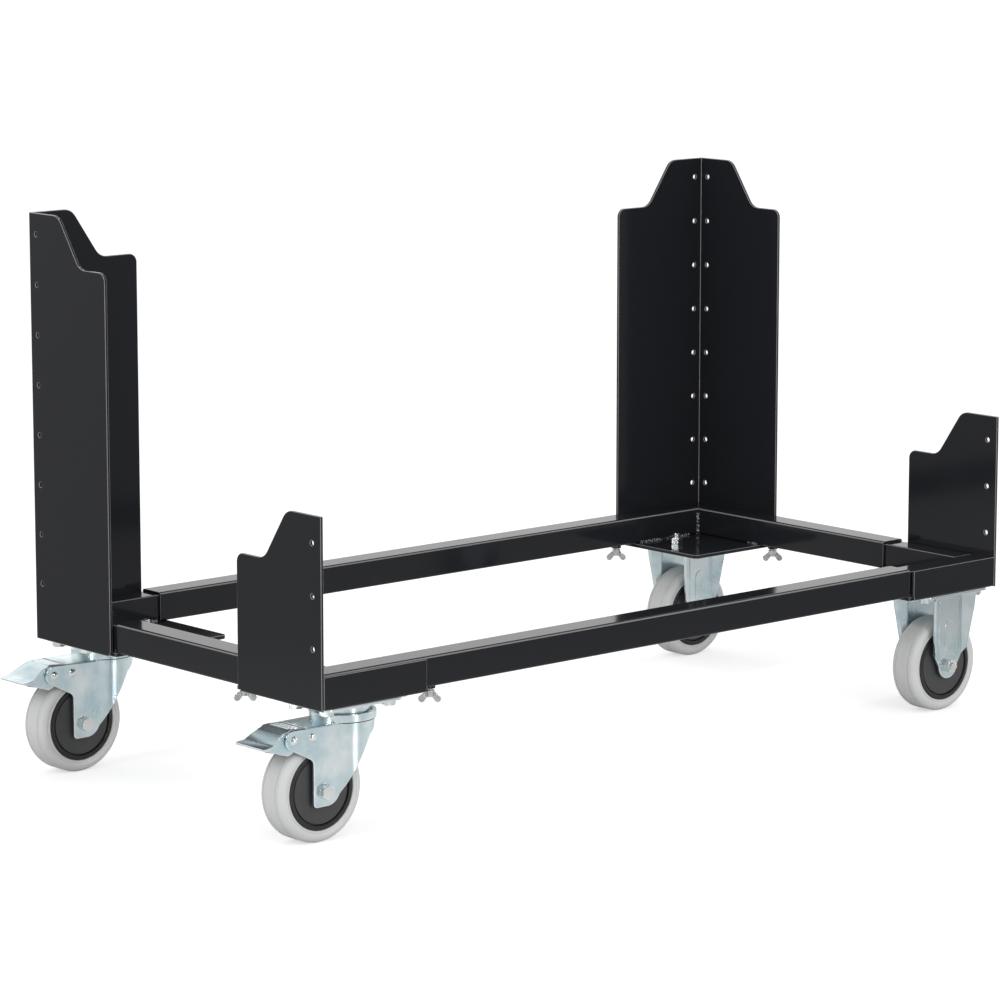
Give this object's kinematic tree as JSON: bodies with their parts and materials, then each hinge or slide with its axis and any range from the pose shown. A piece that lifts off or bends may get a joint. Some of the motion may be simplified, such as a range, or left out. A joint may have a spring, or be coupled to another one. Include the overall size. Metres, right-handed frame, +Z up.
{
  "type": "cabinet dolly",
  "caption": "Low black cabinet dolly: a telescoping square-tube frame with perforated corner posts and end plates, on braked swivel casters and fixed casters.",
  "frame": {"origin": "on the floor, under the middle of the overall box at rest, brake pedals included", "axes": "+Z up, +X along the length towards the fixed casters, -Y towards the front, where the low plates stand"},
  "size_m": [0.981, 0.455, 0.559],
  "materials": {
    "powder_coat": "gloss",
    "weld": "gloss",
    "zinc": "satin",
    "steel": "polished",
    "tyre": "matte",
    "hub": "matte",
    "brake_shoe": "matte"
  },
  "bodies": {
    "front_left": {"front_left_plate": "powder_coat", "front_left_tray": "powder_coat", "front_rail": "powder_coat", "left_rail": "powder_coat", "front_left_welds": "weld", "front_left_clamp_nuts": "powder_coat", "front_left_screws": "zinc", "front_left_mounting_plate": "zinc", "front_left_kingpin": "zinc"},
    "rear_left": {"rear_left_post": "powder_coat", "rear_left_base": "powder_coat", "left_arm": "powder_coat", "rear_arm": "powder_coat", "rear_left_spacers": "powder_coat", "rear_left_welds": "weld", "rear_left_screws": "zinc", "rear_left_mounting_plate": "zinc", "rear_left_kingpin": "zinc"},
    "rear_right": {"rear_right_post": "powder_coat", "rear_right_base": "powder_coat", "rear_rail": "powder_coat", "right_rail": "powder_coat", "rear_right_welds": "weld", "rear_right_clamp_nuts": "powder_coat", "rear_right_screws": "zinc", "rear_right_bracket": "zinc", "rear_right_axle": "zinc"},
    "front_right": {"front_right_plate": "powder_coat", "front_right_tray": "powder_coat", "front_arm": "powder_coat", "right_arm": "powder_coat", "front_right_spacers": "powder_coat", "front_right_welds": "weld", "front_right_screws": "zinc", "front_right_bracket": "zinc", "front_right_axle": "zinc"},
    "front_left_swivel": {"front_left_fork": "zinc", "front_left_balls": "steel", "front_left_axle": "zinc", "front_left_brake_pins": "zinc"},
    "front_left_wheel": {"front_left_tyre": "tyre", "front_left_hub": "hub"},
    "front_left_brake": {"front_left_pedal": "zinc", "front_left_shoe": "brake_shoe"},
    "rear_left_swivel": {"rear_left_fork": "zinc", "rear_left_balls": "steel", "rear_left_axle": "zinc", "rear_left_brake_pins": "zinc"},
    "rear_left_wheel": {"rear_left_tyre": "tyre", "rear_left_hub": "hub"},
    "rear_left_brake": {"rear_left_pedal": "zinc", "rear_left_shoe": "brake_shoe"},
    "rear_right_wheel": {"rear_right_tyre": "tyre", "rear_right_hub": "hub"},
    "front_right_wheel": {"front_right_tyre": "tyre", "front_right_hub": "hub"},
    "front_clamp": {"front_clamp_screw": "zinc"},
    "left_clamp": {"left_clamp_screw": "zinc"},
    "rear_clamp": {"rear_clamp_screw": "zinc"},
    "right_clamp": {"right_clamp_screw": "zinc"}
  },
  "joints": [
    {"name": "length_slide", "type": "slide", "parent": "front_left", "child": "front_right", "axis": [1, 0, 0], "range_m": [0, 0.1]},
    {"name": "depth_slide", "type": "slide", "parent": "front_left", "child": "rear_left", "axis": [0, 1, 0], "range_m": [0, 0.08]},
    {"name": "rear_length_slide", "type": "slide", "parent": "rear_left", "child": "rear_right", "axis": [1, 0, 0], "range_m": [0, 0.1]},
    {"name": "front_left_swivel_turn", "type": "hinge", "parent": "front_left", "child": "front_left_swivel", "pos_m": [-0.3795, -0.19, 0.118], "axis": [0, 0, 1], "continuous": true},
    {"name": "front_left_wheel_roll", "type": "hinge", "parent": "front_left_swivel", "child": "front_left_wheel", "pos_m": [-0.418, -0.19, 0.05], "axis": [0, 1, 0], "continuous": true},
    {"name": "front_left_brake_press", "type": "hinge", "parent": "front_left_swivel", "child": "front_left_brake", "pos_m": [-0.4545, -0.19, 0.104], "axis": [0, 1, 0], "range_deg": [0, 12]},
    {"name": "rear_left_swivel_turn", "type": "hinge", "parent": "rear_left", "child": "rear_left_swivel", "pos_m": [-0.3795, 0.19, 0.118], "axis": [0, 0, 1], "continuous": true},
    {"name": "rear_left_wheel_roll", "type": "hinge", "parent": "rear_left_swivel", "child": "rear_left_wheel", "pos_m": [-0.418, 0.19, 0.05], "axis": [0, 1, 0], "continuous": true},
    {"name": "rear_left_brake_press", "type": "hinge", "parent": "rear_left_swivel", "child": "rear_left_brake", "pos_m": [-0.4545, 0.19, 0.104], "axis": [0, 1, 0], "range_deg": [0, 12]},
    {"name": "rear_right_wheel_roll", "type": "hinge", "parent": "rear_right", "child": "rear_right_wheel", "pos_m": [0.4355, 0.19, 0.05], "axis": [0, 1, 0], "continuous": true},
    {"name": "front_right_wheel_roll", "type": "hinge", "parent": "front_right", "child": "front_right_wheel", "pos_m": [0.4355, -0.19, 0.05], "axis": [0, 1, 0], "continuous": true},
    {"name": "front_clamp_turn", "type": "hinge", "parent": "front_left", "child": "front_clamp", "pos_m": [-0.2885, -0.2095, 0.131], "axis": [0, 0, 1], "range_deg": [-360, 0]},
    {"name": "left_clamp_turn", "type": "hinge", "parent": "front_left", "child": "left_clamp", "pos_m": [-0.4165, -0.0895, 0.131], "axis": [0, 0, 1], "range_deg": [-360, 0]},
    {"name": "rear_clamp_turn", "type": "hinge", "parent": "rear_right", "child": "rear_clamp", "pos_m": [0.3445, 0.2095, 0.131], "axis": [0, 0, 1], "range_deg": [-360, 0]},
    {"name": "right_clamp_turn", "type": "hinge", "parent": "rear_right", "child": "right_clamp", "pos_m": [0.4725, 0.0895, 0.131], "axis": [0, 0, 1], "range_deg": [-360, 0]}
  ],
  "couplings": [
    {"joint": "rear_length_slide", "follows": "length_slide", "ratio": 1}
  ]
}
